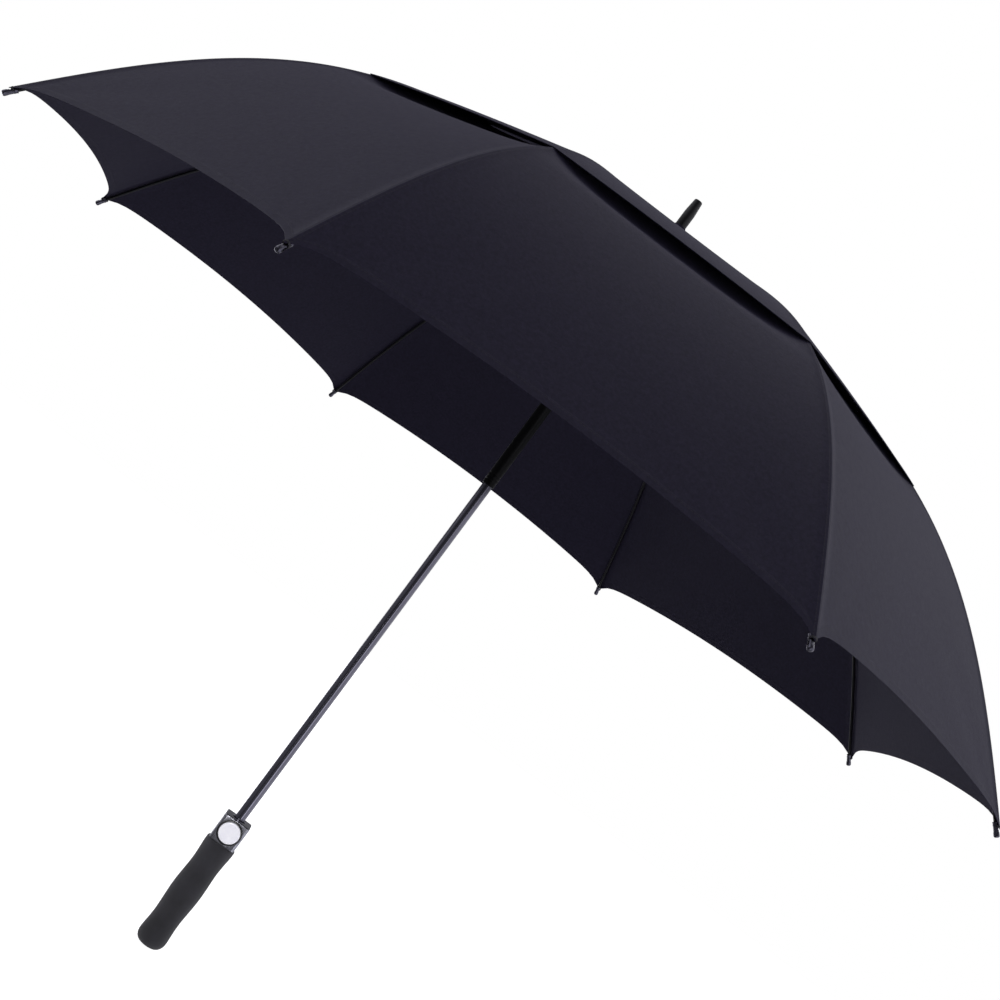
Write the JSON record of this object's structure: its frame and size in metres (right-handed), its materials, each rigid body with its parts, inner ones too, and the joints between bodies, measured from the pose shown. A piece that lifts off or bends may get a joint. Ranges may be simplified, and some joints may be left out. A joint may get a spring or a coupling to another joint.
{
  "type": "golf umbrella",
  "caption": "Large vented golf umbrella with a straight foam grip, a push-button shaft and a folding frame of ribs and stretchers, shown open.",
  "frame": {"origin": "centre of the flat end of the grip, on the shaft's axis", "axes": "+Z along the shaft from the grip to the ferrule; -Y is the side of the release button"},
  "size_m": [1.186, 1.186, 1.016],
  "materials": {
    "canopy_cloth": "fine plain-weave pongee, matte with a slight sheen",
    "fibreglass": "black pultruded fibreglass rod, satin",
    "tube_metal": "gunmetal, glossy",
    "collar_metal": "gunmetal, satin",
    "black_plastic": "moulded, fine texture",
    "button_face": "pearl silver",
    "grip_foam": "closed-cell foam, fine pores",
    "tip_metal": "dark nickel",
    "spring_steel": "drawn wire and pins"
  },
  "bodies": {
    "shaft": {"shaft_tube": "tube_metal", "ferrule": "black_plastic", "crown": "black_plastic", "crown_wire": "spring_steel", "top_rosette": "canopy_cloth", "runner_stop": "spring_steel", "handle_core": "black_plastic", "handle_grip": "grip_foam", "handle_collar": "collar_metal", "latch_spring": "spring_steel", "set_pin": "spring_steel", "spring_seat": "black_plastic", "main_spring": "spring_steel", "upper_canopy": "canopy_cloth"},
    "button": {"button": "button_face"},
    "runner": {"runner": "black_plastic", "runner_wire": "spring_steel", "spring_plunger": "spring_steel"},
    "rib_1": {"rib_1": "fibreglass"},
    "outer_rib_1": {"outer_rib_1": "fibreglass", "rib_tip_1": "tip_metal", "lower_canopy_1": "canopy_cloth"},
    "stretcher_1": {"stretcher_1": "fibreglass"},
    "rib_2": {"rib_2": "fibreglass"},
    "outer_rib_2": {"outer_rib_2": "fibreglass", "rib_tip_2": "tip_metal", "lower_canopy_2": "canopy_cloth"},
    "stretcher_2": {"stretcher_2": "fibreglass"},
    "rib_3": {"rib_3": "fibreglass"},
    "outer_rib_3": {"outer_rib_3": "fibreglass", "rib_tip_3": "tip_metal", "lower_canopy_3": "canopy_cloth"},
    "stretcher_3": {"stretcher_3": "fibreglass"},
    "rib_4": {"rib_4": "fibreglass"},
    "outer_rib_4": {"outer_rib_4": "fibreglass", "rib_tip_4": "tip_metal", "lower_canopy_4": "canopy_cloth"},
    "stretcher_4": {"stretcher_4": "fibreglass"},
    "rib_5": {"rib_5": "fibreglass"},
    "outer_rib_5": {"outer_rib_5": "fibreglass", "rib_tip_5": "tip_metal", "lower_canopy_5": "canopy_cloth"},
    "stretcher_5": {"stretcher_5": "fibreglass"},
    "rib_6": {"rib_6": "fibreglass"},
    "outer_rib_6": {"outer_rib_6": "fibreglass", "rib_tip_6": "tip_metal", "lower_canopy_6": "canopy_cloth"},
    "stretcher_6": {"stretcher_6": "fibreglass"},
    "rib_7": {"rib_7": "fibreglass"},
    "outer_rib_7": {"outer_rib_7": "fibreglass", "rib_tip_7": "tip_metal", "lower_canopy_7": "canopy_cloth"},
    "stretcher_7": {"stretcher_7": "fibreglass"},
    "rib_8": {"rib_8": "fibreglass"},
    "outer_rib_8": {"outer_rib_8": "fibreglass", "rib_tip_8": "tip_metal", "lower_canopy_8": "canopy_cloth"},
    "stretcher_8": {"stretcher_8": "fibreglass"}
  },
  "joints": [
    {"name": "rib_1_fold", "type": "hinge", "parent": "shaft", "child": "rib_1", "pos_m": [-0.00439, -0.0106, 0.95098], "axis": [0.9239, -0.3827, 0], "range_deg": [0, 73.5], "stiffness_Nm_per_rad": 1.2, "springref_deg": -85.94, "deforming": ["upper_canopy", "lower_canopy_1", "lower_canopy_2", "lower_canopy_3", "lower_canopy_4", "lower_canopy_5", "lower_canopy_6", "lower_canopy_7", "lower_canopy_8", "main_spring", "latch_spring"]},
    {"name": "rib_2_fold", "type": "hinge", "parent": "shaft", "child": "rib_2", "pos_m": [0.00439, -0.0106, 0.95098], "axis": [0.9239, 0.3827, 0], "range_deg": [-1, 74.5]},
    {"name": "rib_3_fold", "type": "hinge", "parent": "shaft", "child": "rib_3", "pos_m": [0.0106, -0.00439, 0.95098], "axis": [0.3827, 0.9239, 0], "range_deg": [-1, 74.5]},
    {"name": "rib_4_fold", "type": "hinge", "parent": "shaft", "child": "rib_4", "pos_m": [0.0106, 0.00439, 0.95098], "axis": [-0.3827, 0.9239, 0], "range_deg": [-1, 74.5]},
    {"name": "rib_5_fold", "type": "hinge", "parent": "shaft", "child": "rib_5", "pos_m": [0.00439, 0.0106, 0.95098], "axis": [-0.9239, 0.3827, 0], "range_deg": [-1, 74.5]},
    {"name": "rib_6_fold", "type": "hinge", "parent": "shaft", "child": "rib_6", "pos_m": [-0.00439, 0.0106, 0.95098], "axis": [-0.9239, -0.3827, 0], "range_deg": [-1, 74.5]},
    {"name": "rib_7_fold", "type": "hinge", "parent": "shaft", "child": "rib_7", "pos_m": [-0.0106, 0.00439, 0.95098], "axis": [-0.3827, -0.9239, 0], "range_deg": [-1, 74.5]},
    {"name": "rib_8_fold", "type": "hinge", "parent": "shaft", "child": "rib_8", "pos_m": [-0.0106, -0.00439, 0.95098], "axis": [0.3827, -0.9239, 0], "range_deg": [-1, 74.5]},
    {"name": "stretcher_1_fork", "type": "hinge", "parent": "rib_1", "child": "stretcher_1", "pos_m": [-0.13764, -0.3323, 0.86999], "axis": [0.9239, -0.3827, 0], "range_deg": [-149, 2]},
    {"name": "outer_rib_1_flex", "type": "hinge", "parent": "rib_1", "child": "outer_rib_1", "pos_m": [-0.14332, -0.346, 0.86902], "axis": [0.9239, -0.3827, 0], "range_deg": [-25.26, 1]},
    {"name": "stretcher_2_fork", "type": "hinge", "parent": "rib_2", "child": "stretcher_2", "pos_m": [0.13764, -0.3323, 0.86999], "axis": [0.9239, 0.3827, 0], "range_deg": [-149, 2]},
    {"name": "outer_rib_2_flex", "type": "hinge", "parent": "rib_2", "child": "outer_rib_2", "pos_m": [0.14332, -0.346, 0.86902], "axis": [0.9239, 0.3827, 0], "range_deg": [-25.26, 1]},
    {"name": "stretcher_3_fork", "type": "hinge", "parent": "rib_3", "child": "stretcher_3", "pos_m": [0.3323, -0.13764, 0.86999], "axis": [0.3827, 0.9239, 0], "range_deg": [-149, 2]},
    {"name": "outer_rib_3_flex", "type": "hinge", "parent": "rib_3", "child": "outer_rib_3", "pos_m": [0.346, -0.14332, 0.86902], "axis": [0.3827, 0.9239, 0], "range_deg": [-25.26, 1]},
    {"name": "stretcher_4_fork", "type": "hinge", "parent": "rib_4", "child": "stretcher_4", "pos_m": [0.3323, 0.13764, 0.86999], "axis": [-0.3827, 0.9239, 0], "range_deg": [-149, 2]},
    {"name": "outer_rib_4_flex", "type": "hinge", "parent": "rib_4", "child": "outer_rib_4", "pos_m": [0.346, 0.14332, 0.86902], "axis": [-0.3827, 0.9239, 0], "range_deg": [-25.26, 1]},
    {"name": "stretcher_5_fork", "type": "hinge", "parent": "rib_5", "child": "stretcher_5", "pos_m": [0.13764, 0.3323, 0.86999], "axis": [-0.9239, 0.3827, 0], "range_deg": [-149, 2]},
    {"name": "outer_rib_5_flex", "type": "hinge", "parent": "rib_5", "child": "outer_rib_5", "pos_m": [0.14332, 0.346, 0.86902], "axis": [-0.9239, 0.3827, 0], "range_deg": [-25.26, 1]},
    {"name": "stretcher_6_fork", "type": "hinge", "parent": "rib_6", "child": "stretcher_6", "pos_m": [-0.13764, 0.3323, 0.86999], "axis": [-0.9239, -0.3827, 0], "range_deg": [-149, 2]},
    {"name": "outer_rib_6_flex", "type": "hinge", "parent": "rib_6", "child": "outer_rib_6", "pos_m": [-0.14332, 0.346, 0.86902], "axis": [-0.9239, -0.3827, 0], "range_deg": [-25.26, 1]},
    {"name": "stretcher_7_fork", "type": "hinge", "parent": "rib_7", "child": "stretcher_7", "pos_m": [-0.3323, 0.13764, 0.86999], "axis": [-0.3827, -0.9239, 0], "range_deg": [-149, 2]},
    {"name": "outer_rib_7_flex", "type": "hinge", "parent": "rib_7", "child": "outer_rib_7", "pos_m": [-0.346, 0.14332, 0.86902], "axis": [-0.3827, -0.9239, 0], "range_deg": [-25.26, 1]},
    {"name": "stretcher_8_fork", "type": "hinge", "parent": "rib_8", "child": "stretcher_8", "pos_m": [-0.3323, -0.13764, 0.86999], "axis": [0.3827, -0.9239, 0], "range_deg": [-149, 2]},
    {"name": "outer_rib_8_flex", "type": "hinge", "parent": "rib_8", "child": "outer_rib_8", "pos_m": [-0.346, -0.14332, 0.86902], "axis": [0.3827, -0.9239, 0], "range_deg": [-25.26, 1]},
    {"name": "runner_travel", "type": "hinge", "parent": "stretcher_1", "child": "runner", "pos_m": [-0.00439, -0.0106, 0.78901], "axis": [0.9239, -0.3827, 0], "range_deg": [-1, 74.5]},
    {"name": "button_press", "type": "slide", "parent": "shaft", "child": "button", "axis": [0, 1, 0], "range_m": [0, 0.002], "stiffness_N_per_m": 400, "springref_m": -0.002}
  ],
  "couplings": [
    {"joint": "rib_2_fold", "follows": "rib_1_fold", "ratio": 1},
    {"joint": "rib_3_fold", "follows": "rib_1_fold", "ratio": 1},
    {"joint": "rib_4_fold", "follows": "rib_1_fold", "ratio": 1},
    {"joint": "rib_5_fold", "follows": "rib_1_fold", "ratio": 1},
    {"joint": "rib_6_fold", "follows": "rib_1_fold", "ratio": 1},
    {"joint": "rib_7_fold", "follows": "rib_1_fold", "ratio": 1},
    {"joint": "rib_8_fold", "follows": "rib_1_fold", "ratio": 1},
    {"joint": "stretcher_1_fork", "follows": "rib_1_fold", "ratio": -2},
    {"joint": "outer_rib_1_flex", "follows": "rib_1_fold", "ratio": -0.33},
    {"joint": "stretcher_2_fork", "follows": "rib_1_fold", "ratio": -2},
    {"joint": "outer_rib_2_flex", "follows": "rib_1_fold", "ratio": -0.33},
    {"joint": "stretcher_3_fork", "follows": "rib_1_fold", "ratio": -2},
    {"joint": "outer_rib_3_flex", "follows": "rib_1_fold", "ratio": -0.33},
    {"joint": "stretcher_4_fork", "follows": "rib_1_fold", "ratio": -2},
    {"joint": "outer_rib_4_flex", "follows": "rib_1_fold", "ratio": -0.33},
    {"joint": "stretcher_5_fork", "follows": "rib_1_fold", "ratio": -2},
    {"joint": "outer_rib_5_flex", "follows": "rib_1_fold", "ratio": -0.33},
    {"joint": "stretcher_6_fork", "follows": "rib_1_fold", "ratio": -2},
    {"joint": "outer_rib_6_flex", "follows": "rib_1_fold", "ratio": -0.33},
    {"joint": "stretcher_7_fork", "follows": "rib_1_fold", "ratio": -2},
    {"joint": "outer_rib_7_flex", "follows": "rib_1_fold", "ratio": -0.33},
    {"joint": "stretcher_8_fork", "follows": "rib_1_fold", "ratio": -2},
    {"joint": "outer_rib_8_flex", "follows": "rib_1_fold", "ratio": -0.33},
    {"joint": "runner_travel", "follows": "rib_1_fold", "ratio": 1}
  ]
}
